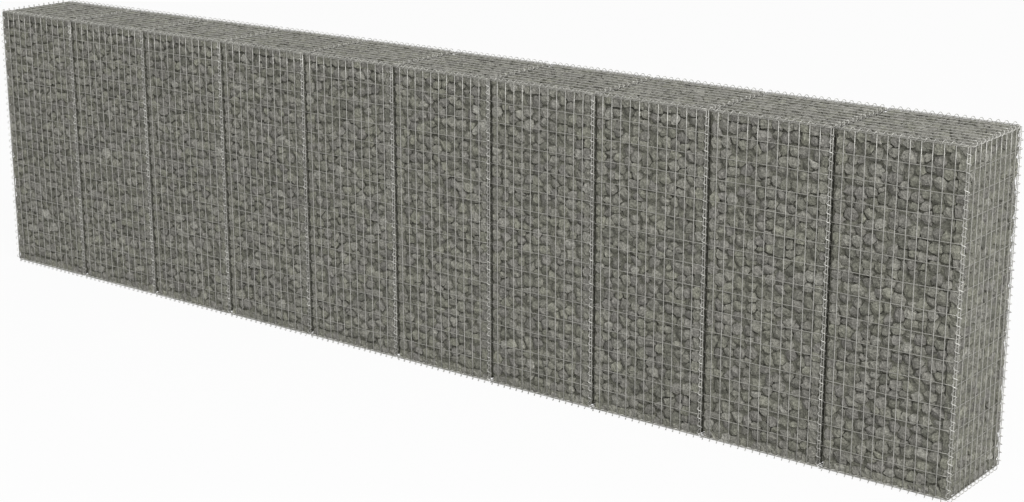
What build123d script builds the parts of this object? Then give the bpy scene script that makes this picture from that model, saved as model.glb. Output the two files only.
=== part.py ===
"""A free-standing gabion wall: a row of welded wire baskets filled with stones.

Frame: X runs along the wall, Y through it, Z up. The origin is on the ground under the wall's middle.
Each basket has its own front, back, base and lid panel, neighbours share a divider panel, and every
edge where panels meet is laced by a spiral wire that is wound round their edge wires.
"""
from build123d import *
import math
import os

os.makedirs("parts", exist_ok=True)

# ---- Driving dimensions, in millimetres ----
bay_count = 10                # baskets in the row
bay_length = 600.0            # from seam to seam, along X
wall_depth = 500.0            # from the front mesh to the back mesh
wall_height = 1500.0          # from the base mesh to the lid mesh

mesh_wire = 3.5               # diameter of the wires in the panels
weld_sink = 0.5               # how far crossing wires are pressed into each other where welded
cells_along = 12              # openings of a front, lid or base panel along a bay
cells_through = 10            # openings of an end, lid or base panel through the wall
cells_up = 15                 # openings of a standing panel from base to lid

spiral_wire = 3.0             # diameter of the wire in the spirals
spiral_sides = 3              # flat sides of a spiral's wire
upright_turns_per_cell = 8 / 3    # turns of an upright spiral to one cell of a panel's height
level_turns_per_cell = 4 / 3      # turns of a level spiral to one cell along or through the wall
running_clearance = 0.3       # between parts that lie loosely against each other
fill_clearance = 1.0          # from the stones to the panels and spirals beside and above them

# ---- Derived sizes ----
# Bars are square and stand corner outwards; they have the section area of the round wire.
corner_per_diameter = math.sqrt(math.pi / 8)
mesh_corner = mesh_wire * corner_per_diameter
spiral_corner = 0.6 * spiral_wire                 # its corners stand just outside the round wire
layer_step = mesh_wire - weld_sink                # between the two layers of crossing wires in a panel

# An edge wire stands back from its corner line, so that panels at right angles clear each other.
edge_offset = layer_step + mesh_corner + running_clearance
# Half the width of a spiral, from its middle to the middle of its wire: it goes round the edge wires.
spiral_half = edge_offset + mesh_corner + spiral_corner + running_clearance
spiral_reach = spiral_half + spiral_corner        # from a spiral's middle to its outside

panel_length = bay_length - 2 * edge_offset       # between the outermost wires, along X
panel_depth = wall_depth - 2 * edge_offset        # between the outermost wires, along Y
panel_height = wall_height - 2 * edge_offset      # between the outermost wires, along Z
cell_length = panel_length / cells_along
cell_depth = panel_depth / cells_through
cell_height = panel_height / cells_up
cross_cells_along = cells_along // 2              # lid and base wires through the wall are twice as far apart

wall_length = bay_count * bay_length
bay_middles = [(i - (bay_count - 1) / 2) * bay_length for i in range(bay_count)]
seams = [i * bay_length - wall_length / 2 for i in range(bay_count + 1)]


# ---- Shapes that repeat ----
def wire_mesh(width, width_cells, height, height_cells):
    """A welded panel in local XY: wires up Y lie in its plane, wires along X one layer behind it (-Z)."""
    with BuildPart() as mesh:
        with BuildSketch(Plane.XZ.offset(-height / 2)):
            with GridLocations(width / width_cells, 1, width_cells + 1, 1):
                RegularPolygon(mesh_corner, 4)
        extrude(amount=height)
        with BuildSketch(Plane.YZ.offset(-width / 2)):
            with Locations((0, -layer_step)):
                with GridLocations(height / height_cells, 1, height_cells + 1, 1):
                    RegularPolygon(mesh_corner, 4)
        extrude(amount=width)
    return mesh.part


def spiral(run, pitch):
    """A square coil up local Z, from corner line to corner line of a panel that is run long.

    Its +Y side is free and level. The other three pass between mesh wires and rise a third of the pitch
    each. With a whole number of thirds to a cell, and a start at a third, they miss every mesh wire.
    """
    corners = ((1, 1, 0), (-1, 1, 0), (-1, -1, 1 / 3), (1, -1, 2 / 3))
    start = edge_offset + pitch / 3
    points = []
    for turn in range(math.ceil(run / pitch)):
        for x, y, rise in corners:
            points.append((x * spiral_half, y * spiral_half, start + (turn + rise) * pitch))
    points = [point for point in points if point[2] <= run - start]
    with BuildPart() as coil:
        with BuildLine() as path:
            Polyline(*points)
        with BuildSketch(Plane(origin=path.line @ 0, z_dir=path.line % 0)):
            RegularPolygon(spiral_corner, spiral_sides)
        sweep(path=path.line, transition=Transition.RIGHT)
    return coil.part


standing_mesh = wire_mesh(panel_length, cells_along, panel_height, cells_up)
cross_mesh = wire_mesh(panel_depth, cells_through, panel_height, cells_up)
flat_mesh = wire_mesh(panel_depth, cells_through, panel_length, cross_cells_along)

upright_spiral = spiral(wall_height, cell_height / upright_turns_per_cell)
length_spiral = spiral(bay_length, cell_length / level_turns_per_cell)
depth_spiral = spiral(wall_depth, cell_depth / level_turns_per_cell)

base_level = spiral_reach                         # the base mesh stands on the spirals under it
lid_level = base_level + wall_height
middle_level = base_level + wall_height / 2
face = wall_depth / 2


def save(piece, name):
    """Labels a finished piece and writes it to its own file."""
    piece.part.label = name
    export_step(piece.part, f"parts/{name}.step", write_pcurves=False)


# ---- Front and back panels, one to a bay ----
for i, x in enumerate(bay_middles, start=1):
    with BuildPart() as front_panel:
        with Locations(Plane((x, -face, middle_level), x_dir=(1, 0, 0), z_dir=(0, -1, 0))):
            add(standing_mesh)
    save(front_panel, f"front_panel_{i:02d}")

    with BuildPart() as back_panel:
        with Locations(Plane((x, face, middle_level), x_dir=(-1, 0, 0), z_dir=(0, 1, 0))):
            add(standing_mesh)
    save(back_panel, f"back_panel_{i:02d}")

# ---- End panels, and divider panels at the seams between bays, two to a node ----
# Their level wires lie in the seam's plane, and their uprights are welded on the +X side.
seam_planes = [Plane((x + layer_step, 0, middle_level), x_dir=(0, 1, 0), z_dir=(1, 0, 0)) for x in seams]
for name, plane in (("end_panel_left", seam_planes[0]), ("end_panel_right", seam_planes[-1])):
    with BuildPart() as end_panel:
        with Locations(plane):
            add(cross_mesh)
    save(end_panel, name)

divider_planes = seam_planes[1:-1]
for i in range(0, len(divider_planes), 2):
    with BuildPart() as divider_panels:
        with Locations(*divider_planes[i:i + 2]):
            add(cross_mesh)
    save(divider_panels, f"divider_panels_{i // 2 + 1}")

# ---- Lid and base panels, half the wall to a node ----
half_count = bay_count // 2
for side, middles in (("left", bay_middles[:half_count]), ("right", bay_middles[half_count:])):
    with BuildPart() as lid_panels:
        with Locations(*[Plane((x, 0, lid_level), x_dir=(0, 1, 0), z_dir=(0, 0, 1)) for x in middles]):
            add(flat_mesh)
    save(lid_panels, f"lid_panels_{side}")

    with BuildPart() as base_panels:
        with Locations(*[Plane((x, 0, base_level), x_dir=(0, 1, 0), z_dir=(0, 0, -1)) for x in middles]):
            add(flat_mesh)
    save(base_panels, f"base_panels_{side}")

# ---- Spirals up the seams and corners; the free side of each looks away from the wall ----
with BuildPart() as front_spirals:
    with Locations(*[Plane((x, -face, base_level), x_dir=(-1, 0, 0), z_dir=(0, 0, 1)) for x in seams]):
        add(upright_spiral)
save(front_spirals, "front_spirals")

with BuildPart() as back_spirals:
    with Locations(*[Plane((x, face, base_level), x_dir=(1, 0, 0), z_dir=(0, 0, 1)) for x in seams]):
        add(upright_spiral)
save(back_spirals, "back_spirals")

# ---- Spirals round the lids and the bases; the free side of each looks up or down ----
for name, level, out in (("lid_spirals", lid_level, 1), ("base_spirals", base_level, -1)):
    along = [Plane((x, y, level), x_dir=(0, out, 0), z_dir=(1, 0, 0)) for y in (-face, face) for x in seams[:-1]]
    through = [Plane((x, -face, level), x_dir=(-out, 0, 0), z_dir=(0, 1, 0)) for x in seams]
    with BuildPart() as level_spirals:
        with Locations(*along):
            add(length_spiral)
        with Locations(*through):
            add(depth_spiral)
    save(level_spirals, name)

# ---- The stones of each basket, as one mass resting on its base panel ----
mesh_thickness = layer_step + mesh_corner         # from a panel's plane to the inside of its inner wires
fill_setback = mesh_thickness + fill_clearance    # from the plane of a front, back or lid panel
fill_side_gap = spiral_reach + fill_clearance     # from a seam
fill_bottom = base_level + mesh_thickness + running_clearance
fill_top = lid_level - fill_setback
# The edges are broken so far that they pass the spirals.
fill_chamfer = 2 * (spiral_reach - fill_setback) + math.sqrt(2) * fill_clearance
for i, x in enumerate(bay_middles, start=1):
    with BuildPart() as stone_fill:
        with BuildSketch(Plane.XY.offset(fill_bottom)):
            with Locations((x, 0)):
                Rectangle(bay_length - 2 * fill_side_gap, wall_depth - 2 * fill_setback)
        extrude(amount=fill_top - fill_bottom)
        chamfer(stone_fill.edges(), fill_chamfer)
    save(stone_fill, f"stone_fill_{i:02d}")
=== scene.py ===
"""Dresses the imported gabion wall: round mesh wires, wound spirals and a fill of broken stones.

X runs along the wall, Y through it and Z up, in metres. Places and outer sizes come from the frame's nodes,
and the sizes of the round wires and of the stones are settings.
"""
import math

import bpy
import numpy as np
from bpy.props import FloatProperty, FloatVectorProperty, IntProperty, PointerProperty
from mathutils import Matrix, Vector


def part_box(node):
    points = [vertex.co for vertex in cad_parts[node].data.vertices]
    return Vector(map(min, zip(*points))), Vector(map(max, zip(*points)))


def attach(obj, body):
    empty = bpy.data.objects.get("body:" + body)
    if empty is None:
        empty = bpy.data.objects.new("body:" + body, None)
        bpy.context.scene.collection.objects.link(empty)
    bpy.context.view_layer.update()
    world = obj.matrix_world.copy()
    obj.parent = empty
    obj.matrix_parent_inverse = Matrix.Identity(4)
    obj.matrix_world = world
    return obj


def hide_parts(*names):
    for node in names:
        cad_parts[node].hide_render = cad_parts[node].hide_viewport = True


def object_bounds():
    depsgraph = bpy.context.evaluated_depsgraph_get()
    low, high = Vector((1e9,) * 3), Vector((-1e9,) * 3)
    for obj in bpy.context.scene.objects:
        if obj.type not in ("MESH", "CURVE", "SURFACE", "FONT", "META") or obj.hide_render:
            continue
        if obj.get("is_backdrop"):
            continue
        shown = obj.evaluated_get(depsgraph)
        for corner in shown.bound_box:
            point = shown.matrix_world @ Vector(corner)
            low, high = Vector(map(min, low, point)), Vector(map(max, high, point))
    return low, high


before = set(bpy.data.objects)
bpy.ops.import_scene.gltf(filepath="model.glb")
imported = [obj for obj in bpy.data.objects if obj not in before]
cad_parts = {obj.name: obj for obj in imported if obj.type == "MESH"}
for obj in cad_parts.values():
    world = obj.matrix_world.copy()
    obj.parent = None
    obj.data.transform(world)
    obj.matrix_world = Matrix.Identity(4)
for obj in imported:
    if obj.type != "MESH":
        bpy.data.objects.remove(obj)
CAD_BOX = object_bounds()

bl_info = {
    "name": "Gabion wall",
    "version": (1, 0, 0),
    "blender": (4, 5, 0),
    "location": "3D View > Sidebar > Gabion",
    "description": "Welded mesh baskets, laced by spirals and filled with broken stones",
    "category": "Object",
}

X, Y, Z = 0, 1, 2
BODY = "root"

# The mesh: openings of each panel, and turns of a spiral to one opening.
CELLS_ALONG = 12
CELLS_THROUGH = 10
CELLS_UP = 15
WIDE_CELLS_ALONG = 6          # of lid and base panels, whose wires through the wall are twice as far apart
UPRIGHT_TURNS_PER_CELL = 8 / 3
LEVEL_TURNS_PER_CELL = 4 / 3

# The frame's bars are square and stand corner outwards, with the section area of the round wire.
CORNER_PER_DIAMETER = math.sqrt(math.pi / 8)


def numbered(stem):
    """The frame's nodes whose names start with stem, in order."""
    return sorted(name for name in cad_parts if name.startswith(stem))


BAY_COUNT = len(numbered("front_panel_"))


# ---------------------------------------------------------------- settings
def length_setting(name, description, default, least=0.0):
    """A setting in metres."""
    return FloatProperty(name=name, description=description, default=default, min=least, unit="LENGTH",
                         precision=4)


def number_setting(name, description, default, least=0.0, most=1000.0):
    """A setting without a unit, such as a share or a slope."""
    return FloatProperty(name=name, description=description, default=default, min=least, max=most)


def count_setting(name, description, default, least=0):
    """A setting that is a whole number."""
    return IntProperty(name=name, description=description, default=default, min=least)


def angle_setting(name, description, degrees):
    """A setting that is an angle."""
    return FloatProperty(name=name, description=description, default=math.radians(degrees), subtype="ANGLE")


def colour_setting(name, description, default):
    """A setting that is a colour."""
    return FloatVectorProperty(name=name, description=description, default=default, subtype="COLOR", size=3,
                               min=0, max=1)


class GabionWireSettings(bpy.types.PropertyGroup):
    """Sizes of the wires and how far they are out of true."""
    mesh_diameter: length_setting("Mesh wire", "Diameter of the wires in the welded panels", 0.0035, 0.001)
    spiral_diameter: length_setting("Spiral wire", "Diameter of the wire in the spirals", 0.003, 0.001)
    wire_sides: count_setting("Mesh wire sides", "Flat sides round a mesh wire", 6, 3)
    wire_steps: count_setting("Mesh wire steps", "Lengths that a mesh wire's sway is drawn with", 14, 2)
    spiral_sides: count_setting("Spiral wire sides", "Flat sides round a spiral's wire", 5, 3)
    turn_steps: count_setting("Steps per turn", "Straight lengths in one turn of a spiral", 12, 4)
    bulge: length_setting("Bulge", "How far the stones press a panel outwards in its middle", 0.003)
    sway: length_setting("Sway", "How far the wires are out of line within a panel", 0.0012)
    seed: count_setting("Seed", "Seed of the wires' sway", 7)


class GabionStoneSettings(bpy.types.PropertyGroup):
    """Sizes and packing of the broken stones."""
    pitch: length_setting("Stone pitch", "Mean distance from stone to stone", 0.050, 0.02)
    depth: number_setting(
        "Outer depth", "From a side to the middles of the stones along it, in pitches", 0.34, 0.1, 0.5)
    jitter: number_setting("Jitter", "Largest shift of a stone from an even grid, in pitches", 0.34)
    stagger: number_setting("Stagger", "Largest lift of a column of stones, in pitches", 0.45)
    variety: number_setting("Variety", "How unlike in size neighbouring stones are, 0 for alike", 0.2)
    fullness: FloatVectorProperty(
        name="Fullness", size=2, default=(0.96, 1.6),
        description="Least and greatest half size of a stone's block, as a share of its room")
    tilt: number_setting("Facet tilt", "How far the outer facets lean, as a slope", 0.42)
    undercut: number_setting(
        "Undercut", "How far a stone's lower edge stands back from its face, in pitches", 0.16)
    sunken: number_setting("Sunken", "Share of the stones that sit back from the mesh", 0.09)
    joint: length_setting("Joint", "Gap kept between neighbouring stones", 0.0008)
    proud: length_setting("Proud", "How far stones stand out of the fill's block towards the mesh", 0.0038)
    seam_gap: length_setting(
        "Seam gap", "How far stones stand back from the fill's block right of a divider", 0.008)
    seam_reach: length_setting(
        "Seam reach", "How far the inner stones stand out of the fill's block towards a divider", 0.0065)
    end_proud: length_setting(
        "Proud at ends", "How far stones stand out of the fill's block at the wall's ends", 0.0095)
    base_proud: length_setting("Proud at the base", "How far stones press through the base mesh", 0.0045)
    bevel: length_setting("Bevel", "How far the fill's edges are broken", 0.002)
    packing: length_setting(
        "Edge packing", "Thickness of the small stones packed along the fill's edges", 0.03)
    packing_depth: length_setting(
        "Edge packing depth", "From the fill's sides to the small stones along its edges", 0.005)
    core: number_setting("Core depth", "From a side to the plain core behind its stones, in pitches", 0.42)
    seed: count_setting("Seed", "Seed of the first basket's stones", 21)


class GabionFinishSettings(bpy.types.PropertyGroup):
    """Colours of the zinc and the stone."""
    zinc: colour_setting("Zinc", "Colour of the zinc coat", (0.54, 0.535, 0.50))
    # Painted light: the upright spirals get a much lighter copy of the zinc, so that they read brighter than
    # the level spirals under the same light.
    zinc_painted_light: colour_setting(
        "Bright zinc", "Colour of the zinc coat on the upright spirals", (0.88, 0.875, 0.83))
    zinc_dull: colour_setting(
        "Dull zinc", "Colour of the zinc where it has weathered", (0.36, 0.355, 0.33))
    # The dust colour is real dust on faces that look up, and also the painted shade on the wires that lie
    # against the stones.
    zinc_dust_and_shade: colour_setting("Dust on wires", "Colour of the dust on the wires", (0.30, 0.295, 0.26))
    # Painted shade: this share darkens the second layer of wires with the dust colour, wherever they face.
    inner_painted_shade: number_setting(
        "Dust on inner wires", "Share of dust added on the wires that lie against the stones", 0.4, most=1.0)
    stone_dark: colour_setting("Dark stone", "Colour of the darkest stones", (0.150, 0.150, 0.127))
    stone_olive: colour_setting("Olive stone", "Colour of the greenish stones", (0.250, 0.250, 0.202))
    stone_grey: colour_setting("Grey stone", "Colour of most stones", (0.252, 0.249, 0.213))
    stone_mauve: colour_setting("Mauve stone", "Colour of the purplish stones", (0.232, 0.225, 0.206))
    stone_pale: colour_setting("Pale stone", "Colour of the lightest stones", (0.335, 0.33, 0.295))
    stone_dust: colour_setting("Dust on stones", "Colour of the dust on the stones", (0.33, 0.33, 0.29))


class GabionStageSettings(bpy.types.PropertyGroup):
    """Floor, light and camera."""
    floor_half: length_setting("Floor half width", "From the wall's middle to the floor's edge", 60.0, 1.0)
    floor_tone: number_setting("Floor tone", "Lightness of the floor", 0.86, most=1.0)
    floor_bounce: number_setting(
        "Floor bounce", "Lightness of the floor for the light that it throws back", 0.45, most=1.0)
    floor_white: number_setting(
        "Floor white", "Share of plain white in the floor as it is seen directly", 0.93, most=1.0)
    sky_level: number_setting("Sky level", "Strength of the plain light from all sides", 0.40)
    key_power: FloatProperty(
        name="Key power", description="Power of the soft lamp on the right", default=11500.0, min=0.0,
        unit="POWER")
    key_size: length_setting("Key size", "Diameter of the soft lamp", 25.5, 0.1)
    key_distance: length_setting("Key distance", "From the wall's right end to the soft lamp", 35.0, 1.0)
    key_direction: FloatVectorProperty(
        name="Key direction", description="Where the soft light comes from", subtype="DIRECTION", size=3,
        default=(0.60, -0.47, 0.645))
    azimuth: angle_setting("Camera azimuth", "Angle of the view about the upright axis", 39.10)
    elevation: angle_setting("Camera elevation", "Angle of the view above the horizon", 15.05)
    roll: angle_setting("Camera roll", "Turn of the camera about its own axis", -0.50)
    distance: length_setting("Camera distance", "From the camera to the point it looks at", 9.415)
    target: FloatVectorProperty(
        name="Camera target", description="Point the camera looks at, above the base mesh",
        subtype="TRANSLATION", unit="LENGTH", size=3, default=(0.336, -0.153, 0.714))
    lens: number_setting("Lens", "Focal length on a 36 mm wide sensor, in millimetres", 67.41, 1.0)
    shift: FloatVectorProperty(
        name="Lens shift", description="Shift of the lens, in sensor widths", size=2,
        default=(0.0522, -0.0225))


# ---------------------------------------------------------------- shapes as arrays
def mesh_object(name, points, faces, smooth=False):
    """A new object from an (n, 3) array of points and a list of (k, sides) arrays of point numbers.

    With smooth, its four-sided faces are shaded as round ones.
    """
    points = np.ascontiguousarray(points, dtype=np.float32).reshape(-1, 3)
    corners = np.concatenate([part.reshape(-1) for part in faces]).astype(np.int32)
    sides = np.concatenate([np.full(len(part), part.shape[1]) for part in faces])
    starts = np.concatenate([[0], np.cumsum(sides)[:-1]]).astype(np.int32)
    mesh = bpy.data.meshes.new(name)
    mesh.vertices.add(len(points))
    mesh.vertices.foreach_set("co", points.reshape(-1))
    mesh.loops.add(len(corners))
    mesh.loops.foreach_set("vertex_index", corners)
    mesh.polygons.add(len(starts))
    mesh.polygons.foreach_set("loop_start", starts)
    mesh.polygons.foreach_set("use_smooth", np.asarray(smooth) & (sides == 4))
    mesh.update(calc_edges=True)
    if mesh.validate():
        raise RuntimeError(f"{name} has faces that Blender can't use")
    piece = bpy.data.objects.new(name, mesh)
    bpy.context.scene.collection.objects.link(piece)
    return piece


def point_values(piece, name, values):
    """Gives each point of a piece a value that its material reads by name."""
    layer = piece.data.attributes.new(name, "FLOAT", "POINT")
    layer.data.foreach_set("value", np.asarray(values, np.float32))


def tubes(paths, radius, sides, first, second):
    """Closed round tubes along many paths at once, with a flat end at each end.

    A point of the surface is path(t) + radius * (cos(a) * first + sin(a) * second), for t along the path
    and a once round it. paths is (tubes, steps, 3); first and second are unit vectors across the path,
    one pair for all or one for each step, and first x second points along it.
    """
    count, steps = paths.shape[:2]
    angle = np.arange(sides) * (2 * math.pi / sides)
    across = np.cos(angle)[:, None] * first[..., None, :] + np.sin(angle)[:, None] * second[..., None, :]
    points = paths[:, :, None, :] + radius * across
    number = np.arange(count * steps * sides).reshape(count, steps, sides)
    here = number[:, :-1]
    ahead = number[:, 1:]
    walls = np.stack([here, np.roll(here, -1, 2), np.roll(ahead, -1, 2), ahead], axis=-1).reshape(-1, 4)
    ends = np.concatenate([number[:, 0, ::-1], number[:, -1]])
    return points.reshape(-1, 3), [walls, ends]


def joined(parts):
    """Joins (points, faces) pairs into one."""
    points = []
    faces = []
    offset = 0
    for part_points, part_faces in parts:
        points.append(part_points)
        faces.extend(face + offset for face in part_faces)
        offset += len(part_points)
    return np.concatenate(points), faces


def finish_piece(piece, node, material):
    """Puts the material on a piece, stands it for its node and rides it on the wall."""
    piece.data.materials.append(material)
    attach(piece, BODY)
    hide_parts(node)


# ---------------------------------------------------------------- where things are
def node_box(node):
    """Lowest and highest corner of a node, as arrays."""
    low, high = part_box(node)
    return np.array(low, float), np.array(high, float)


def panels_in(node, length):
    """The boxes of the like panels in a node, which are length long along X and stand a bay apart."""
    low, high = node_box(node)
    spare = high[X] - low[X] - length
    count = 1 + int(round(spare / BAY_LENGTH))
    for start in np.linspace(low[X], low[X] + spare, count):
        panel_low = low.copy()
        panel_high = high.copy()
        panel_low[X] = start
        panel_high[X] = start + length
        yield panel_low, panel_high


def wall_lines():
    """Seams along X, the two faces in Y, the base and lid levels in Z, and how far a spiral reaches."""
    low, high = node_box("front_spirals")
    back_low, back_high = node_box("back_spirals")
    base_low, base_high = node_box("base_spirals")
    lid_low, lid_high = node_box("lid_spirals")
    reach = (high[Y] - low[Y]) / 2
    seams = np.linspace(low[X] + reach, high[X] - reach, BAY_COUNT + 1)
    faces = ((low[Y] + high[Y]) / 2, (back_low[Y] + back_high[Y]) / 2)
    levels = ((base_low[Z] + base_high[Z]) / 2, (lid_low[Z] + lid_high[Z]) / 2)
    return seams, faces, levels, reach


SEAMS, FACES, LEVELS, SPIRAL_REACH = wall_lines()
BAY_LENGTH = SEAMS[1] - SEAMS[0]


# ---------------------------------------------------------------- welded mesh
SWAY_WAVES = 4                # waves that add up to a panel's sway
SWAY_TURNS = 0.8              # most turns of the slowest wave along a side of the panel
SWAY_HOLD = 6                 # power that keeps the sway's fading near the panel's edges
SWAY_THROUGH = 0.5            # sway through the panel, as a share of the sway within it
LEVEL_BULGE = 0.3             # bulge of lids and bases, as a share of the standing panels'


def sway_field(rng, size, u, v):
    """How far a panel's wires stand from their straight lines, at u along and v across it (0 to 1).

    Its three parts are up the panel, across it and through it. Each is the sum of size / n * sin(2 pi
    (f u + g v) + phase) over the waves n, with f and g up to SWAY_TURNS * n, and fades to nothing at the
    edges, where the spirals hold the panel. It is the same for both layers, so that welds stay together.
    """
    fade = (1 - (2 * u - 1) ** SWAY_HOLD) * (1 - (2 * v - 1) ** SWAY_HOLD)
    field = np.zeros(u.shape + (3,))
    for part in range(3):
        for wave in range(1, SWAY_WAVES + 1):
            f, g = rng.uniform(-SWAY_TURNS, SWAY_TURNS, 2) * wave
            phase = rng.uniform(0, 2 * math.pi)
            field[..., part] += size / wave * np.sin(2 * math.pi * (f * u + g * v) + phase)
    return field * fade[..., None]


def panel_wires(box, thin, up, cells_up, cells_across, up_layer_high, outward, rng):
    """Round wires of one welded panel, as (points, faces).

    thin is the axis through the panel and up the axis of its first layer of wires; the second layer
    crosses them. A wire's axis is a straight line at an even spacing, moved by the panel's sway and
    bulge: bulge * sin(pi u) * sin(pi v) along the outward side.
    """
    wires = bpy.context.scene.gabion_wires
    corner = wires.mesh_diameter * CORNER_PER_DIAMETER
    across = 3 - thin - up
    low = box[0] + corner
    high = box[1] - corner
    edge = np.array([up, across])
    low_line = low[edge]
    span = high[edge] - low_line
    parts = []
    waves = rng.integers(1 << 30)
    for axis, other, cells, layer_high in ((0, 1, cells_across, up_layer_high),
                                           (1, 0, cells_up, not up_layer_high)):
        along = np.linspace(0, 1, wires.wire_steps + 1)
        lines = np.linspace(0, 1, cells + 1)
        place = np.empty((len(lines), len(along), 2))
        place[..., axis] = along[None, :]
        place[..., other] = lines[:, None]
        u, v = place[..., 0], place[..., 1]
        sway = sway_field(np.random.default_rng(waves), wires.sway, u, v)
        press = outward * wires.bulge * np.sin(math.pi * u) * np.sin(math.pi * v)
        path = np.empty(place.shape[:2] + (3,))
        path[..., edge[0]] = low_line[0] + span[0] * u + sway[..., 0] * (axis != 0)
        path[..., edge[1]] = low_line[1] + span[1] * v + sway[..., 1] * (axis != 1)
        path[..., thin] = (high if layer_high else low)[thin] + press + sway[..., 2] * SWAY_THROUGH
        direction = edge[axis]
        first = np.eye(3)[(direction + 1) % 3]
        second = np.eye(3)[(direction + 2) % 3]
        parts.append(tubes(path, wires.mesh_diameter / 2, wires.wire_sides, first, second))
    return joined(parts)


def mesh_piece(node, boxes, material, rng, **layout):
    """One piece of welded mesh that stands for a node, from the boxes of the panels in it.

    The value second_layer is 1 on the wires that cross the first ones. In every panel but the left end's
    they lie against the stones. Their zinc is darkened there as painted shade.
    """
    panels = [panel_wires(box, rng=rng, **layout) for box in boxes]
    points, faces = joined(panels)
    piece = mesh_object(node.replace("panels", "mesh").replace("panel", "mesh"), points, faces, smooth=True)
    second_layer = np.repeat([0.0, 1.0], [layout["cells_across"] + 1, layout["cells_up"] + 1])
    wires = np.tile(second_layer, len(panels))
    point_values(piece, "second_layer", np.repeat(wires, len(points) // len(wires)))
    finish_piece(piece, node, material)


# ---------------------------------------------------------------- spirals
def spiral_wire(run, pitch, edge, radius):
    """One spiral wire about local Z as (points, faces), between corner lines that are run apart.

    The wire is wound left-handed. Its middle is at radius * (-cos(2 pi t), sin(2 pi t)) and at the height
    start + pitch * (t - 1/4 + cos(2 pi t) / 12), which is flatter on the free side (+Y) and passes the
    other three sides a third of the pitch apart, clear of the mesh wires. t starts at 1/8, on a corner of
    the frame's square coil. The wire's own circle stands square to that line: one of its axes points to
    the spiral's middle.
    """
    wires = bpy.context.scene.gabion_wires
    start = edge + pitch / 3
    steps = int((run - 2 * start) / pitch * wires.turn_steps)
    t = 1 / 8 + np.arange(steps + 1) / wires.turn_steps
    angle = 2 * math.pi * t
    height = start + pitch * (t - 1 / 4 + np.cos(angle) / 12)
    path = np.stack([-radius * np.cos(angle), radius * np.sin(angle), height], axis=-1)
    slope = np.stack([radius * np.sin(angle) * 2 * math.pi, radius * np.cos(angle) * 2 * math.pi,
                      pitch * (1 - np.sin(angle) * math.pi / 6)], axis=-1)
    slope /= np.linalg.norm(slope, axis=1, keepdims=True)
    inwards = np.stack([np.cos(angle), -np.sin(angle), np.zeros_like(angle)], axis=-1)
    second = np.cross(slope, inwards)
    return tubes(path[None], wires.spiral_diameter / 2, wires.spiral_sides, inwards, second)


def placed(shape, origin, x_axis, z_axis):
    """A copy of (points, faces) moved from local axes to the wall's."""
    points, faces = shape
    y_axis = np.cross(z_axis, x_axis)
    return points @ np.array([x_axis, y_axis, z_axis], float) + origin, faces


def spiral_piece(node, parts, material):
    """One piece of spirals that stands for a node."""
    piece = mesh_object(node.replace("spirals", "lacing"), *joined(parts), smooth=True)
    finish_piece(piece, node, material)


# ---------------------------------------------------------------- stones
# The skin of a stone: points round it, and angles from the pole on its open side.
SPOKES = 8
SHOULDER_ANGLES = np.radians(np.linspace(6, 84, 14))    # where its shoulder may lie
BACK_ANGLE = math.radians(104)                          # where its last ring lies
LEAST_LEAN = 1e-3                                       # planes that lean less towards a point don't cut it
UNCUT = 1.0                                             # metres, further off than any stone reaches

# How the stones are packed. Lengths here and below are in pitches, and leans are slopes.
OUTER_JITTER = 0.3            # jitter of the outermost stones, as a share of the others'
LEVEL_ROWS = 3                # rows over which the columns' lift fades out
FAR_OFF = 10                  # how far outside the layer stands that cuts nothing
LEAST_MIDWAY = 0.12           # least distance from a stone's middle to a neighbour's cut
LEAST_BROKEN = 0.1            # least distance from a stone's middle to a broken edge of the fill
DIVIDER_FACING = 0.3          # how far stones along a divider turn to it, against 1 for an open side

# A stone's block: the ways its cuts face, how far they are out of true, and their least and greatest
# distance in half blocks.
BLOCK_HALF = 0.5
BLOCK_VARIETY = 0.25
BLOCK_SIDES = np.concatenate([np.eye(3), -np.eye(3)])
BLOCK_CORNERS = np.stack(np.meshgrid([-1, 1], [-1, 1], [-1, 1]), axis=-1).reshape(-1, 3)
BLOCK_CUTS = ((BLOCK_SIDES, 0.15, 0.9, 1.2), (BLOCK_CORNERS, 0.3, 1.0, 1.45))
BLOCK_STRETCH = 0.5           # how much further a block reaches outwards
EDGE_BLOCK_STRETCH = 1.0      # the same at the fill's edges

# The open side of a stone. Reaches are shares of the way from its middle to the fill's side.
FACETS = 3
FACET_REACH = (0.82, 1.05)
SUNKEN_REACH = (0.3, 0.7)     # of a stone that sits back
EDGE_TILT = 0.15              # tilt of the facets at the fill's edges, as a share of the others'
UNDERCUT_DROP = 0.5           # how far below a stone's middle its undercut begins
UNDERCUT_REACH = (0.9, 1.15)
UNDERCUT_UNEVEN = 0.15
POLE_UNEVEN = 0.12            # how far a stone's pole is off its open side
EDGE_POLE_UNEVEN = 0.03       # the same at the fill's edges
EDGE_GUIDE = 0.05             # how far the first side of a skin at the fill's edges is off the edge

# Lightness of the stones, and the values of the plain ones behind them, whose darker colour is painted shade.
SHADE_MEAN = 1.01
SHADE_SPREAD = 0.085
SHADE_LIMITS = (0.75, 1.25)
INNER_PAINTED_SHADE_TINT = 0.1
INNER_PAINTED_SHADE_LIGHTNESS = 0.9
CORE_INSET = np.array([0.5, 1.0, 1.0])  # from the fill's sides to the core, in core depths
BAR_STEP = 0.2                          # how much deeper the bars of each direction lie than the last ones


def ring_triangles():
    """Triangles over a closed form: a pole, three rings of SPOKES points and a back pole, in that order.

    They are listed counter-clockwise as seen from outside.
    """
    spoke = np.arange(SPOKES)
    ahead = (spoke + 1) % SPOKES
    triangles = [np.stack([0 * spoke, 1 + spoke, 1 + ahead], axis=-1)]
    for ring in range(2):
        here = 1 + SPOKES * ring
        below = here + SPOKES
        triangles.append(np.stack([here + spoke, below + spoke, below + ahead], axis=-1))
        triangles.append(np.stack([here + spoke, below + ahead, here + ahead], axis=-1))
    last = 1 + SPOKES * 2
    triangles.append(np.stack([last + spoke, 0 * spoke + last + SPOKES, last + ahead], axis=-1))
    return np.concatenate(triangles)


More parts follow.
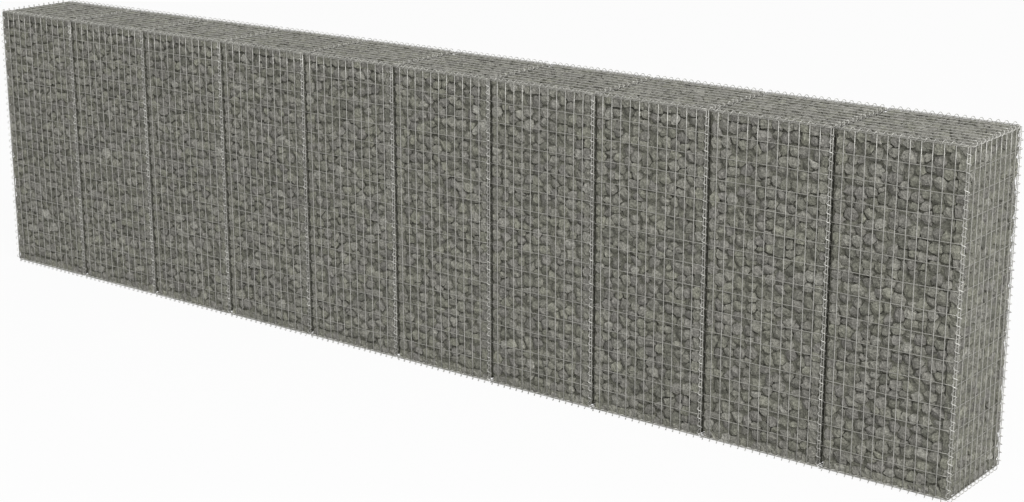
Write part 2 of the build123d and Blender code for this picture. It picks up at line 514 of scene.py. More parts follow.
def cut_radius(directions, normals, distances):
    """How far a form cut by planes reaches in each direction: the least of h / (d . n)."""
    lean = np.einsum("n...c,npc->n...p", directions, normals)
    distances = distances.reshape(len(distances), *[1] * (directions.ndim - 2), -1)
    return np.where(lean > LEAST_LEAN, distances / np.maximum(lean, LEAST_LEAN), UNCUT).min(axis=-1)


def stone_skins(own, frames, normals, distances):
    """Points of each stone: a pole towards its open side, three rings and a back pole.

    Along each spoke the second ring lies on the stone's shoulder, where the sum of its reach sideways and
    outwards is greatest, the first halfway to it, and the third behind the stone's middle.
    """
    azimuth = 2 * math.pi * np.arange(SPOKES) / SPOKES
    sideways = np.cos(azimuth)[:, None] * frames[:, None, 0] + np.sin(azimuth)[:, None] * frames[:, None, 1]
    outwards = frames[:, None, 2]
    sines = np.sin(SHOULDER_ANGLES)[:, None]
    cosines = np.cos(SHOULDER_ANGLES)[:, None]
    profile = sines * sideways[:, :, None] + cosines * outwards[:, :, None]
    reach = cut_radius(profile, normals, distances)
    shoulder = (reach * (sines + cosines)[:, 0]).argmax(axis=-1)
    angles = SHOULDER_ANGLES[shoulder]
    rings = []
    for angle in (0.5 * angles, angles, np.full_like(angles, BACK_ANGLE)):
        direction = np.sin(angle)[..., None] * sideways + np.cos(angle)[..., None] * outwards
        rings.append(direction * cut_radius(direction, normals, distances)[..., None])
    poles = [side * outwards * cut_radius(side * outwards, normals, distances)[..., None] for side in (1, -1)]
    return own[:, None] + np.concatenate([poles[0], *rings, poles[1]], axis=1)


def unit(vectors):
    """The same vectors, each one long."""
    return vectors / np.linalg.norm(vectors, axis=-1, keepdims=True)


def frames_about(axis, guide):
    """Right-handed frames, one to a row. The third vector is the axis, and the first is square to guide."""
    third = unit(axis)
    first = unit(np.cross(guide, third))
    return np.stack([first, np.cross(third, first), third], axis=-2)


def stone_places(low, high, rng):
    """Middles of the stones in a box, on a jittered grid, and each one's number along X, Y and Z.

    The outermost stones are depth inside the box, with little jitter. Each column has a lift of its own,
    which fades out over the rows next to the lid and to the base, so that no rows run through the fill.
    One more layer all round stands far off, where it cuts nothing.
    """
    stones = bpy.context.scene.gabion_stones
    depth = stones.depth * stones.pitch
    room = high - low - 2 * depth
    cells = np.maximum(3, np.round(room / stones.pitch).astype(int) + 1)
    step = room / (cells - 1)
    index = np.stack(np.meshgrid(*[np.arange(-1, n + 1) for n in cells], indexing="ij"), axis=-1)
    outer = (index <= 0) | (index >= cells - 1)
    shift = rng.uniform(-1, 1, index.shape) * stones.jitter * step * np.where(outer, OUTER_JITTER, 1.0)
    row = index[..., Z]
    fade = (np.minimum(row, cells[Z] - 1 - row) / LEVEL_ROWS).clip(0, 1)
    shift[..., Z] += rng.uniform(-1, 1, index.shape[:2] + (1,)) * stones.stagger * step[Z] * fade
    away = FAR_OFF * stones.pitch * ((index == cells).astype(float) - (index == -1))
    return low + depth + index * step + shift + away, index, cells


# Each of the next four functions gives planes as (normals, distances), with one row to a stone.
def midway_planes(own, own_size, middle, size, shown, cells):
    """The planes midway to a stone's 26 neighbours, moved towards the smaller of the two stones."""
    stones = bpy.context.scene.gabion_stones
    for step in np.stack(np.meshgrid([-1, 0, 1], [-1, 0, 1], [-1, 0, 1]), axis=-1).reshape(-1, 3):
        if not step.any():
            continue
        where = tuple(slice(1 + s, n + 1 + s) for s, n in zip(step, cells))
        gap = middle[where][shown] - own
        apart = np.linalg.norm(gap, axis=1)
        shift = stones.variety * stones.pitch ** 2 * (own_size - size[where][shown]) / (2 * apart)
        distance = np.maximum(apart / 2 + shift - stones.joint / 2, LEAST_MIDWAY * stones.pitch)
        yield gap / apart[:, None], distance


def block_planes(own_size, outward, edge, rng):
    """The six sides and eight cut corners of a block turned at random, which reaches further outwards."""
    stones = bpy.context.scene.gabion_stones
    count = len(own_size)
    block = frames_about(rng.normal(size=(count, 3)), rng.normal(size=(count, 3)))
    half = stones.pitch * (BLOCK_HALF + BLOCK_VARIETY * stones.variety * own_size)
    half = half * rng.uniform(*stones.fullness, count)
    stretch = np.where(edge, EDGE_BLOCK_STRETCH, BLOCK_STRETCH)
    for ways, uneven, least, greatest in BLOCK_CUTS:
        for way in ways:
            normal = unit(np.einsum("k,nkc->nc", way, block) + rng.normal(scale=uneven, size=(count, 3)))
            full = 1 + stretch * (normal * outward).sum(axis=1).clip(0)
            yield normal, half * full * rng.uniform(least, greatest, count)


def side_planes(own, low, high, outward, bare, edge, rng):
    """Leaning facets behind each open side, an undercut behind each upright one, and the fill's six sides.

    Where a side isn't open, its facets lie too far off to cut.
    """
    stones = bpy.context.scene.gabion_stones
    count = len(own)
    set_back = (rng.random(count) < stones.sunken) & ~edge
    sunken = np.where(set_back, rng.uniform(*SUNKEN_REACH, count), 1.0)
    tilt = stones.tilt * np.where(edge, EDGE_TILT, 1.0)[:, None]
    for axis in (X, Y, Z):
        reach = np.where(outward[:, axis] < 0, own[:, axis] - low[axis], high[axis] - own[:, axis])
        open_here = bare[:, axis]
        for facet in range(FACETS):
            lean = rng.normal(scale=tilt, size=(count, 3))
            lean[:, axis] = np.where(open_here, outward[:, axis], 1.0)
            near = np.where(edge, 1.0, rng.uniform(*FACET_REACH, count)) * sunken * reach
            yield unit(lean), np.where(open_here, near, UNCUT)
        if axis != Z:
            lean = rng.normal(scale=UNDERCUT_UNEVEN, size=(count, 3)) - (0, 0, 1)
            lean[:, axis] = np.where(open_here, outward[:, axis], 1.0)
            under = np.hypot(reach, UNDERCUT_DROP * stones.pitch) * rng.uniform(*UNDERCUT_REACH, count)
            under -= stones.undercut * stones.pitch
            yield unit(lean), np.where(open_here & ~edge, under, UNCUT)
        for side, limit in ((-1, low[axis]), (1, high[axis])):
            yield np.tile(side * np.eye(3)[axis], (count, 1)), side * (limit - own[:, axis])


def broken_edge_planes(own, low, high):
    """The planes that break the fill's twelve edges."""
    stones = bpy.context.scene.gabion_stones
    for axis in (X, Y, Z):
        one, other = (axis + 1) % 3, (axis + 2) % 3
        for a, b in ((-1, -1), (-1, 1), (1, -1), (1, 1)):
            normal = a * np.eye(3)[one] + b * np.eye(3)[other]
            corner = a * (high if a > 0 else low)[one] + b * (high if b > 0 else low)[other] - stones.bevel
            distance = np.maximum((corner - own @ normal) / math.sqrt(2), LEAST_BROKEN * stones.pitch)
            yield np.tile(unit(normal), (len(own), 1)), distance


def basket_stones(low, high, first, last, rng):
    """The outer stones of one basket as (points, triangles, stone of each point).

    Each stone is a closed form about its own middle: in the direction d its surface is at the least of
    h / (d . n) over a set of planes with normals n and distances h. The planes are those midway to its
    neighbours, those of a block turned at random, a few leaning facets behind each open side, and the
    sides and broken edges of the fill.
    """
    middle, index, cells = stone_places(low, high, rng)
    size = rng.uniform(-1, 1, index.shape[:3])
    inner = (slice(1, -1),) * 3
    at_low = index[inner] == 0
    at_high = index[inner] == cells - 1
    open_side = at_low | at_high
    if not first:
        open_side[..., X] &= ~at_low[..., X]
    if not last:
        open_side[..., X] &= ~at_high[..., X]
    shown = open_side.any(axis=-1)
    bare = open_side[shown]
    outward = (at_high.astype(float) - at_low)[shown]
    edge = np.abs(outward).sum(axis=1) > 1
    own = middle[inner][shown]
    own_size = size[inner][shown]

    planes = [*midway_planes(own, own_size, middle, size, shown, cells),
              *block_planes(own_size, outward, edge, rng),
              *side_planes(own, low, high, outward, bare, edge, rng),
              *broken_edge_planes(own, low, high)]
    normals = np.stack([normal for normal, distance in planes], axis=1)
    distances = np.stack([distance for normal, distance in planes], axis=1)

    facing = np.where(bare, outward, DIVIDER_FACING * outward)
    guide = np.where(edge[:, None], (outward == 0) + EDGE_GUIDE * outward, rng.normal(size=facing.shape))
    uneven = np.where(edge, EDGE_POLE_UNEVEN, POLE_UNEVEN)[:, None]
    frames = frames_about(facing + uneven * rng.normal(size=facing.shape), guide)
    points = stone_skins(own, frames, normals, distances)
    count, corners = points.shape[:2]
    faces = (ring_triangles()[None] + (np.arange(count) * corners)[:, None, None]).reshape(-1, 3)
    return points.reshape(-1, 3), faces, np.repeat(np.arange(count), corners)


def fill_limits(node, first, last):
    """Lowest and highest corner that the stones of a basket reach, from the node's block."""
    stones = bpy.context.scene.gabion_stones
    low, high = node_box(node)
    low_proud = (stones.end_proud if first else -stones.seam_gap, stones.proud, stones.base_proud)
    high_proud = (stones.end_proud if last else 0.0, stones.proud, stones.proud)
    return low - low_proud, high + high_proud


def box_shape(low, high):
    """A closed box as (points, quads)."""
    bit = np.array([[i & 1, i >> 1 & 1, i >> 2 & 1] for i in range(8)])
    quads = np.array([[0, 2, 3, 1], [4, 5, 7, 6], [0, 1, 5, 4], [2, 6, 7, 3], [0, 4, 6, 2], [1, 3, 7, 5]])
    return low + bit * (high - low), [quads]


def inner_stones(low, high, first, last):
    """The stones behind the outer ones, as plain boxes: one core and a bar along each edge of the fill.

    The core runs on to the dividers, so that the gaps beside them are shallow. The bars of each direction
    lie a little deeper than the last ones, so that no two faces fall together at a corner.
    """
    stones = bpy.context.scene.gabion_stones
    inset = CORE_INSET * stones.core * stones.pitch
    core_low = low + inset
    core_high = high - inset
    if not first:
        core_low[X] = low[X] - stones.seam_gap - stones.seam_reach
    if not last:
        core_high[X] = high[X] + stones.seam_reach
    boxes = [(core_low, core_high)]
    for axis in (X, Y, Z):
        depth = stones.packing_depth * (1 + BAR_STEP * axis)
        outer = np.array([low + depth, high - depth])
        for one in (0, 1):
            for other in (0, 1):
                bar = outer.copy()
                for across, side in (((axis + 1) % 3, one), ((axis + 2) % 3, other)):
                    bar[1 - side, across] = bar[side, across] + (1 - 2 * side) * stones.packing
                boxes.append((bar[0], bar[1]))
    return joined([box_shape(*box) for box in boxes])


def stone_piece(node, first, last, material, seed):
    """The stones of one basket, joined into a piece that stands for its node.

    Two values go with each point: stone_tint picks the stone's colour and stone_shade its lightness.
    """
    low, high = fill_limits(node, first, last)
    rng = np.random.default_rng(seed)
    points, faces, stone = basket_stones(low, high, first, last, rng)
    inner = inner_stones(low, high, first, last)
    count = stone[-1] + 1
    tint = rng.uniform(0, 1, count)
    shade = rng.normal(SHADE_MEAN, SHADE_SPREAD, count).clip(*SHADE_LIMITS)
    piece = mesh_object(node.replace("stone_fill", "stones"), *joined([(points, [faces]), inner]))
    # The plain stones behind get a darker colour and lightness, as painted shade for the stones deep inside.
    for label, value, behind in (("stone_tint", tint, INNER_PAINTED_SHADE_TINT), ("stone_shade", shade, INNER_PAINTED_SHADE_LIGHTNESS)):
        point_values(piece, label, np.append(value[stone], np.full(len(inner[0]), behind)))
    finish_piece(piece, node, material)


# ---------------------------------------------------------------- materials
WHITE = (1.0, 1.0, 1.0)
MIX_A, MIX_B, MIX_RESULT = 6, 7, 2      # the colour sockets of a Mix node


def feed(tree, socket, value):
    """Links an output to an input socket, or gives that input a number or a colour of its own."""
    if isinstance(value, bpy.types.NodeSocket):
        tree.links.new(value, socket)
    elif isinstance(value, (int, float)):
        socket.default_value = value
    else:
        socket.default_value = (*value, 1.0)


def set_node(tree, node, **values):
    """Gives a node its settings and feeds its inputs, both by name."""
    for key, value in values.items():
        if hasattr(node, key):
            setattr(node, key, value)
        else:
            feed(tree, node.inputs[key.replace("_", " ")], value)


def add_node(tree, kind, place, *inputs, **values):
    """A node at a place in the tree, with its first inputs fed in order and the rest set by name."""
    node = tree.nodes.new(kind)
    node.location = place
    for socket, value in zip(node.inputs, inputs):
        feed(tree, socket, value)
    set_node(tree, node, **values)
    return node


def scaled(tree, place, value, low, high, low_in=0.0, high_in=1.0):
    """The value stretched from low_in..high_in to low..high, as a socket."""
    return add_node(tree, "ShaderNodeMapRange", place, value, low_in, high_in, low, high).outputs[0]


def computed(tree, place, operation, *values, clamp=False):
    """The result of a Math node, as a socket."""
    return add_node(tree, "ShaderNodeMath", place, *values, operation=operation, use_clamp=clamp).outputs[0]


def colour_mix(tree, place, factor, first, second, mode="MIX"):
    """The result of a Mix node that blends two colours, as a socket."""
    node = add_node(tree, "ShaderNodeMix", place, factor, data_type="RGBA", blend_type=mode)
    feed(tree, node.inputs[MIX_A], first)
    feed(tree, node.inputs[MIX_B], second)
    return node.outputs[MIX_RESULT]


def new_group(name, inputs, outputs):
    """An empty shader node group with float and vector sockets, and what its inputs give."""
    kinds = {"float": "NodeSocketFloat", "vector": "NodeSocketVector"}
    tree = bpy.data.node_groups.new(name, "ShaderNodeTree")
    for label, kind, default in inputs:
        socket = tree.interface.new_socket(name=label, in_out="INPUT", socket_type=kinds[kind])
        if default is not None:
            socket.default_value = default
    for label, kind in outputs:
        tree.interface.new_socket(name=label, in_out="OUTPUT", socket_type=kinds[kind])
    return tree, add_node(tree, "NodeGroupInput", (-900, 0)).outputs


def grain_group():
    """Grain: fine speckle, coarser mottle and the height of both, for stone and for zinc."""
    tree, given = new_group(
        "Gabion grain",
        [("Vector", "vector", None), ("Fine Scale", "float", 900.0), ("Coarse Scale", "float", 140.0)],
        [("Speckle", "float"), ("Mottle", "float"), ("Drift", "vector"), ("Height", "float")])
    fine = add_node(tree, "ShaderNodeTexNoise", (-600, 200), Vector=given["Vector"],
                    Scale=given["Fine Scale"], Detail=2.0, Roughness=0.7).outputs
    coarse = add_node(tree, "ShaderNodeTexNoise", (-600, -100), Vector=given["Vector"],
                      Scale=given["Coarse Scale"], Detail=3.0, Roughness=0.6).outputs
    height = computed(tree, (0, 0), "MULTIPLY_ADD", fine["Fac"], 0.35, coarse["Fac"])
    add_node(tree, "NodeGroupOutput", (700, 0), Speckle=fine["Fac"], Mottle=coarse["Fac"],
             Drift=coarse["Color"], Height=height)
    return tree


def chip_group():
    """Chips: small broken facets with wavy borders, each of its own tone, and the height of their ridges."""
    tree, given = new_group(
        "Gabion chips",
        [("Vector", "vector", None), ("Drift", "vector", None), ("Bend", "float", 0.01),
         ("Scale", "float", 80.0)],
        [("Tone", "float"), ("Height", "float")])
    bend = add_node(tree, "ShaderNodeVectorMath", (-450, -250), given["Drift"], operation="SCALE",
                    Scale=given["Bend"])
    moved = add_node(tree, "ShaderNodeVectorMath", (-250, 0), given["Vector"], bend.outputs[0],
                     operation="ADD")
    cells = add_node(tree, "ShaderNodeTexVoronoi", (0, 0), Vector=moved.outputs[0], Scale=given["Scale"],
                     Randomness=1.0).outputs
    tone = add_node(tree, "ShaderNodeSeparateColor", (250, 150), cells["Color"])
    add_node(tree, "NodeGroupOutput", (700, 0), Tone=tone.outputs[0], Height=cells["Distance"])
    return tree


def dust_group():
    """Dust: a mask that is strongest on faces that look up, broken by a patch value from 0 to 1."""
    tree, given = new_group(
        "Gabion dust", [("Patch", "float", 0.5), ("Amount", "float", 0.5)], [("Mask", "float")])
    shape = add_node(tree, "ShaderNodeNewGeometry", (-900, -300))
    split = add_node(tree, "ShaderNodeSeparateXYZ", (-650, -300), shape.outputs["True Normal"])
    upward = scaled(tree, (-400, -300), split.outputs["Z"], 0.0, 1.0, 0.2, 1.0)
    patch = scaled(tree, (-400, 100), given["Patch"], 0.0, 1.0, 0.35, 0.65)
    both = computed(tree, (-100, 0), "MULTIPLY", upward, patch)
    mask = computed(tree, (200, 0), "MULTIPLY", both, given["Amount"])
    add_node(tree, "NodeGroupOutput", (700, 0), Mask=mask)
    return tree


def edge_group():
    """Worn edges: a mask of sharp outer edges, broken by a patch value from 0 to 1."""
    tree, given = new_group(
        "Gabion edges", [("Patch", "float", 0.5), ("Amount", "float", 0.5)], [("Mask", "float")])
    shape = add_node(tree, "ShaderNodeNewGeometry", (-900, -300))
    edge = scaled(tree, (-600, -200), shape.outputs["Pointiness"], 0.0, 1.0, 0.52, 0.66)
    broken = computed(tree, (-200, 0), "MULTIPLY", edge, given["Patch"])
    mask = computed(tree, (200, 0), "MULTIPLY", broken, given["Amount"])
    add_node(tree, "NodeGroupOutput", (700, 0), Mask=mask)
    return tree


def group_node(tree, name, make, place, **values):
    """What a shared group gives, made on first use and placed in a material with its own values."""
    shared = bpy.data.node_groups.get(name) or make()
    return add_node(tree, "ShaderNodeGroup", place, node_tree=shared, **values).outputs


def new_material(name):
    """A new material, its tree and its Principled BSDF."""
    material = bpy.data.materials.new(name)
    material.use_nodes = True
    return material, material.node_tree, material.node_tree.nodes["Principled BSDF"]


def zinc_material(name, coat_colour, spangle_scale):
    """Zinc-coated drawn wire: crystal patches in the coat, dull weathered stretches, fine grain and dust.

    Where second_layer is 1, the dust colour is also mixed in as painted shade, so those wires read darker.
    """
    finish = bpy.context.scene.gabion_finish
    material, tree, shader = new_material(name)
    place = add_node(tree, "ShaderNodeTexCoord", (-1500, 0)).outputs["Object"]
    grain = group_node(tree, "Gabion grain", grain_group, (-1200, 200), Vector=place,
                       Fine_Scale=2500.0, Coarse_Scale=350.0)
    dust = group_node(tree, "Gabion dust", dust_group, (-1200, -100), Patch=grain["Mottle"], Amount=0.8)
    weather = add_node(tree, "ShaderNodeTexNoise", (-1200, 800), Vector=place, Scale=18.0, Detail=4.0,
                       Roughness=0.65)
    worn = scaled(tree, (-950, 800), weather.outputs["Fac"], 0.0, 1.0, 0.42, 0.66)
    colour = colour_mix(tree, (-700, 600), worn, coat_colour, finish.zinc_dull)
    spangle = add_node(tree, "ShaderNodeTexVoronoi", (-1200, 500), Vector=place, Scale=spangle_scale)
    crystal = add_node(tree, "ShaderNodeSeparateColor", (-950, 500), spangle.outputs["Color"])
    lift = scaled(tree, (-700, 400), crystal.outputs[0], 0.84, 1.16)
    colour = colour_mix(tree, (-450, 500), 1.0, colour, lift, "MULTIPLY")
    # Painted shade on the second layer of wires, added to the real dust on faces that look up.
    layer = add_node(tree, "ShaderNodeAttribute", (-900, 1050), attribute_name="second_layer")
    dust_and_painted_shade = computed(tree, (-450, 750), "MULTIPLY_ADD", layer.outputs["Fac"], finish.inner_painted_shade,
                     dust["Mask"], clamp=True)
    colour = colour_mix(tree, (-200, 400), dust_and_painted_shade, colour, finish.zinc_dust_and_shade)
    bump = add_node(tree, "ShaderNodeBump", (-450, -350), Strength=0.35, Distance=0.0002,
                    Height=grain["Height"])
    set_node(tree, shader, Base_Color=colour,
             Metallic=scaled(tree, (-450, 100), worn, 0.75, 0.35),
             Roughness=scaled(tree, (-450, -100), grain["Mottle"], 0.36, 0.62),
             Normal=bump.outputs[0])
    return material


def stone_colours(tree, place, tint):
    """The colour that belongs to a tint from 0 to 1, as a socket."""
    finish = bpy.context.scene.gabion_finish
    ramp = add_node(tree, "ShaderNodeValToRGB", place, tint)
    stops = ((0.0, finish.stone_dark), (0.12, finish.stone_olive), (0.40, finish.stone_grey),
             (0.72, finish.stone_mauve), (0.90, finish.stone_grey), (1.0, finish.stone_pale))
    for number, (position, colour) in enumerate(stops):
        stop = ramp.color_ramp.elements[number] if number < 2 else ramp.color_ramp.elements.new(position)
        stop.position = position
        stop.color = (*colour, 1.0)
    return ramp.outputs[0]


def stone_material():
    """Broken stone: a colour for each stone, chips, mottle and speckle, pale edges and dust."""
    finish = bpy.context.scene.gabion_finish
    material, tree, shader = new_material("broken_stone")
    place = add_node(tree, "ShaderNodeTexCoord", (-1500, 0)).outputs["Object"]
    grain = group_node(tree, "Gabion grain", grain_group, (-1200, 200), Vector=place,
                       Fine_Scale=240.0, Coarse_Scale=100.0)
    chips = group_node(tree, "Gabion chips", chip_group, (-1200, 0), Vector=place, Drift=grain["Drift"],
                       Bend=0.012, Scale=75.0)
    dust = group_node(tree, "Gabion dust", dust_group, (-1200, -150), Patch=grain["Mottle"], Amount=0.3)
    edges = group_node(tree, "Gabion edges", edge_group, (-1200, -350), Patch=grain["Speckle"],
                       Amount=0.35)
    tint = add_node(tree, "ShaderNodeAttribute", (-1200, 700), attribute_name="stone_tint")
    shade = add_node(tree, "ShaderNodeAttribute", (-1200, 500), attribute_name="stone_shade")
    colour = stone_colours(tree, (-950, 700), tint.outputs["Fac"])
    factors = (shade.outputs["Fac"],
               scaled(tree, (-900, 400), grain["Mottle"], 0.62, 1.38, 0.3, 0.7),
               scaled(tree, (-900, 250), chips["Tone"], 0.84, 1.16),
               scaled(tree, (-900, 100), grain["Speckle"], 0.6, 1.4, 0.3, 0.7))
    for number, factor in enumerate(factors):
        colour = colour_mix(tree, (-650 + 160 * number, 600 - 60 * number), 1.0, colour, factor, "MULTIPLY")
    colour = colour_mix(tree, (0, 300), edges["Mask"], colour, finish.stone_pale)
    colour = colour_mix(tree, (160, 250), dust["Mask"], colour, finish.stone_dust)
    relief = computed(tree, (-300, -250), "ADD", chips["Height"], grain["Height"])
    bump = add_node(tree, "ShaderNodeBump", (-100, -300), Strength=0.9, Distance=0.004, Height=relief)
    set_node(tree, shader, Base_Color=colour, Normal=bump.outputs[0], Specular_IOR_Level=0.3,
             Roughness=scaled(tree, (-300, 0), grain["Mottle"], 0.78, 0.97))
    return material


def shared_material(name):
    """One of the wall's materials, made on first use."""
    finish = bpy.context.scene.gabion_finish
    makers = {
        "zinc_mesh_wire": lambda: zinc_material("zinc_mesh_wire", finish.zinc, 260.0),
        # The upright spirals' lighter zinc is painted light, not a different coat.
        "zinc_upright_spiral": lambda: zinc_material("zinc_upright_spiral", finish.zinc_painted_light, 420.0),
        "zinc_level_spiral": lambda: zinc_material("zinc_level_spiral", finish.zinc, 420.0),
        "broken_stone": stone_material,
    }
    return bpy.data.materials.get(name) or makers[name]()


def seen_directly(tree):
    """A value that is 1 for rays straight from the camera, or by way of metal or glass."""
    rays = add_node(tree, "ShaderNodeLightPath", (-900, 300)).outputs
    first = computed(tree, (-650, 300), "ADD", rays["Is Camera Ray"], rays["Is Glossy Ray"])
    return computed(tree, (-450, 300), "ADD", first, rays["Is Transmission Ray"], clamp=True)


def floor_material(stage):
    """A plain floor: nearly white as it is seen directly, and darker for the light that it throws back."""
    material, tree, shader = new_material("plain_floor")
    rays = add_node(tree, "ShaderNodeLightPath", (-900, 0))
    tone = colour_mix(tree, (-300, 100), rays.outputs["Is Diffuse Ray"], [stage.floor_tone] * 3,
                      [stage.floor_bounce] * 3)
    set_node(tree, shader, Base_Color=tone, Roughness=0.9)
    white = add_node(tree, "ShaderNodeEmission", (-200, -200), Strength=1.0)
    share = computed(tree, (-250, 300), "MULTIPLY", seen_directly(tree), stage.floor_white)
    blend = add_node(tree, "ShaderNodeMixShader", (200, 300), share, shader.outputs[0], white.outputs[0])
    set_node(tree, tree.nodes["Material Output"], Surface=blend.outputs[0])
    return material


# ---------------------------------------------------------------- operators
SENSOR_WIDTH = 36.0           # of the camera, in millimetres
CLIP_END = 300.0              # metres


class GABION_OT_standing_mesh(bpy.types.Operator):
    """Make the welded front and back panels"""
    bl_idname = "gabion.standing_mesh"
    bl_label = "Front and back mesh"

    def execute(self, context):
        material = shared_material("zinc_mesh_wire")
        rng = np.random.default_rng(context.scene.gabion_wires.seed)
        for side, outward in (("front", -1), ("back", 1)):
            for node in numbered(f"{side}_panel_"):
                mesh_piece(node, [node_box(node)], material, rng, thin=Y, up=Z, cells_up=CELLS_UP,
                           cells_across=CELLS_ALONG, up_layer_high=outward > 0, outward=outward)
        return {"FINISHED"}


class GABION_OT_cross_mesh(bpy.types.Operator):
    """Make the welded end and divider panels"""
    bl_idname = "gabion.cross_mesh"
    bl_label = "End and divider mesh"

    def execute(self, context):
        material = shared_material("zinc_mesh_wire")
        rng = np.random.default_rng(context.scene.gabion_wires.seed + 1)
        low, high = node_box("end_panel_left")
        sides = {"end_panel_left": -1, "end_panel_right": 1, **dict.fromkeys(numbered("divider_panels_"), 0)}
        for node, outward in sides.items():
            mesh_piece(node, panels_in(node, high[X] - low[X]), material, rng, thin=X, up=Z,
                       cells_up=CELLS_UP, cells_across=CELLS_THROUGH, up_layer_high=True, outward=outward)
        return {"FINISHED"}


class GABION_OT_level_mesh(bpy.types.Operator):
    """Make the welded lid and base panels"""
    bl_idname = "gabion.level_mesh"
    bl_label = "Lid and base mesh"

    def execute(self, context):
        material = shared_material("zinc_mesh_wire")
        rng = np.random.default_rng(context.scene.gabion_wires.seed + 2)
        low, high = node_box("front_panel_01")
        for side, outward in (("lid", 1), ("base", -1)):
            for node in numbered(f"{side}_panels_"):
                mesh_piece(node, panels_in(node, high[X] - low[X]), material, rng, thin=Z, up=X,
                           cells_up=WIDE_CELLS_ALONG, cells_across=CELLS_THROUGH,
                           up_layer_high=outward > 0, outward=outward * LEVEL_BULGE)
        return {"FINISHED"}


class GABION_OT_spirals(bpy.types.Operator):
    """Wind the spirals up the seams and corners and round the lids and bases"""
    bl_idname = "gabion.spirals"
    bl_label = "Spirals"

    def execute(self, context):
        wires = context.scene.gabion_wires
        upright_material = shared_material("zinc_upright_spiral")
        level_material = shared_material("zinc_level_spiral")
        corner = wires.mesh_diameter * CORNER_PER_DIAMETER
        radius = SPIRAL_REACH - wires.spiral_diameter / 2
        front_low, front_high = node_box("front_panel_01")
        end_low, end_high = node_box("end_panel_left")
        edge = front_low[X] + corner - SEAMS[0]
        cell_along = (front_high[X] - front_low[X] - 2 * corner) / CELLS_ALONG
        cell_up = (front_high[Z] - front_low[Z] - 2 * corner) / CELLS_UP
        cell_through = (end_high[Y] - end_low[Y] - 2 * corner) / CELLS_THROUGH
        upright = spiral_wire(LEVELS[1] - LEVELS[0], cell_up / UPRIGHT_TURNS_PER_CELL, edge, radius)
        along = spiral_wire(BAY_LENGTH, cell_along / LEVEL_TURNS_PER_CELL, edge, radius)
        through = spiral_wire(FACES[1] - FACES[0], cell_through / LEVEL_TURNS_PER_CELL, edge, radius)
        for node, y, out in (("front_spirals", FACES[0], -1), ("back_spirals", FACES[1], 1)):
            parts = [placed(upright, (x, y, LEVELS[0]), (out, 0, 0), (0, 0, 1)) for x in SEAMS]
            spiral_piece(node, parts, upright_material)
        for node, z, out in (("base_spirals", LEVELS[0], -1), ("lid_spirals", LEVELS[1], 1)):
            parts = [placed(along, (x, y, z), (0, out, 0), (1, 0, 0)) for y in FACES for x in SEAMS[:-1]]
            parts += [placed(through, (x, FACES[0], z), (-out, 0, 0), (0, 1, 0)) for x in SEAMS]
            spiral_piece(node, parts, level_material)
        return {"FINISHED"}


class GABION_OT_stones(bpy.types.Operator):
    """Fill each basket with broken stones"""
    bl_idname = "gabion.stones"
    bl_label = "Stones"

    def execute(self, context):
        material = shared_material("broken_stone")
        for number, node in enumerate(numbered("stone_fill_")):
            stone_piece(node, number == 0, number == BAY_COUNT - 1, material,
                        context.scene.gabion_stones.seed + number)
        return {"FINISHED"}


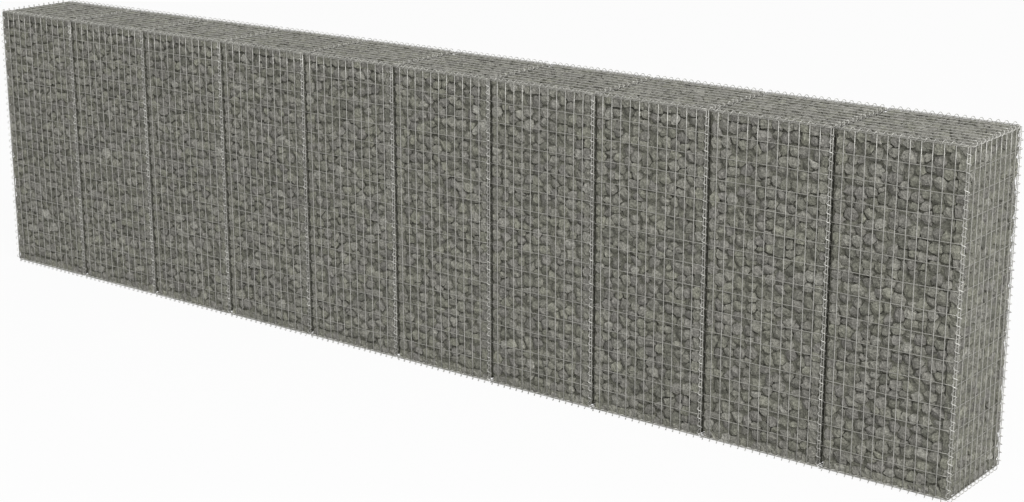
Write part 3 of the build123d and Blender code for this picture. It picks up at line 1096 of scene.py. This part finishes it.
class GABION_OT_stage(bpy.types.Operator):
    """Lay the floor and set the light and the camera"""
    bl_idname = "gabion.stage"
    bl_label = "Floor, light and camera"

    def execute(self, context):
        stage = context.scene.gabion_stage
        self.floor(stage)
        self.light(context, stage)
        self.camera(context, stage)
        return {"FINISHED"}

    def floor(self, stage):
        """A plain white square that still takes the wall's shadow."""
        half = stage.floor_half
        corners = np.array([(-half, -half, 0), (half, -half, 0), (half, half, 0), (-half, half, 0)])
        floor = mesh_object("floor", corners, [np.array([[0, 1, 2, 3]])])
        floor.data.materials.append(floor_material(stage))
        floor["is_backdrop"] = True

    def light(self, context, stage):
        """A plain white sky and one wide soft lamp off the wall's right end, above and a little in front."""
        world = bpy.data.worlds.new("studio")
        world.use_nodes = True
        tree = world.node_tree
        sky = tree.nodes["Background"]
        set_node(tree, sky, Color=WHITE, Strength=stage.sky_level)
        backdrop = add_node(tree, "ShaderNodeBackground", (-200, -200), Color=WHITE, Strength=1.0)
        blend = add_node(tree, "ShaderNodeMixShader", (200, 300), seen_directly(tree), sky.outputs[0],
                         backdrop.outputs[0])
        set_node(tree, tree.nodes["World Output"], Surface=blend.outputs[0])
        context.scene.world = world
        lamp = bpy.data.lights.new("key", "AREA")
        lamp.shape = "DISK"
        lamp.size = stage.key_size
        lamp.energy = stage.key_power
        key = bpy.data.objects.new("key", lamp)
        key.location = stage.key_direction.normalized() * stage.key_distance
        key.location.x += SEAMS[-1]
        key.rotation_euler = stage.key_direction.to_track_quat("Z", "Y").to_euler()
        key.visible_camera = False
        context.scene.collection.objects.link(key)

    def camera(self, context, stage):
        """A camera at a given angle and distance from its target, which it looks at."""
        lens = bpy.data.cameras.new("camera")
        lens.sensor_width = SENSOR_WIDTH
        lens.lens = stage.lens
        lens.shift_x, lens.shift_y = stage.shift
        lens.clip_end = CLIP_END
        camera = bpy.data.objects.new("camera", lens)
        across = math.cos(stage.elevation)
        back = np.array([math.sin(stage.azimuth) * across, -math.cos(stage.azimuth) * across,
                         math.sin(stage.elevation)])
        target = np.array(stage.target) + (0, 0, LEVELS[0])
        camera.location = target + back * stage.distance
        camera.rotation_euler = (math.pi / 2 - stage.elevation, 0.0, stage.azimuth)
        camera.rotation_euler.rotate_axis("Z", stage.roll)
        context.scene.collection.objects.link(camera)
        context.scene.camera = camera
        context.scene.view_settings.view_transform = "Standard"


class GABION_PT_panel(bpy.types.Panel):
    """The wall's steps, in the order they are made"""
    bl_idname = "GABION_PT_panel"
    bl_label = "Gabion wall"
    bl_space_type = "VIEW_3D"
    bl_region_type = "UI"
    bl_category = "Gabion"

    def draw(self, context):
        for step in STEPS:
            self.layout.operator(step.bl_idname)
        for name, settings in SETTINGS.items():
            box = self.layout.box()
            for label in settings.__annotations__:
                box.prop(getattr(context.scene, name), label)


SETTINGS = {
    "gabion_wires": GabionWireSettings,
    "gabion_stones": GabionStoneSettings,
    "gabion_finish": GabionFinishSettings,
    "gabion_stage": GabionStageSettings,
}
STEPS = (GABION_OT_stage, GABION_OT_standing_mesh, GABION_OT_cross_mesh, GABION_OT_level_mesh,
         GABION_OT_spirals, GABION_OT_stones)


def register():
    """Registers the settings, the operators and the panel."""
    for name, settings in SETTINGS.items():
        bpy.utils.register_class(settings)
        setattr(bpy.types.Scene, name, PointerProperty(type=settings))
    for step in STEPS:
        bpy.utils.register_class(step)
    bpy.utils.register_class(GABION_PT_panel)


def unregister():
    """Takes them away again."""
    bpy.utils.unregister_class(GABION_PT_panel)
    for step in reversed(STEPS):
        bpy.utils.unregister_class(step)
    for name, settings in SETTINGS.items():
        delattr(bpy.types.Scene, name)
        bpy.utils.unregister_class(settings)


def main():
    """Makes the wall step by step."""
    register()
    bpy.ops.gabion.stage()
    bpy.ops.gabion.standing_mesh()
    bpy.ops.gabion.cross_mesh()
    bpy.ops.gabion.level_mesh()
    bpy.ops.gabion.spirals()
    bpy.ops.gabion.stones()
    sizes = {"cad": CAD_BOX, "visual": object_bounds()}
    ({name: [[float(value) for value in corner] for corner in box]
               for name, box in sizes.items()})


if __name__ == "__main__":
    main()
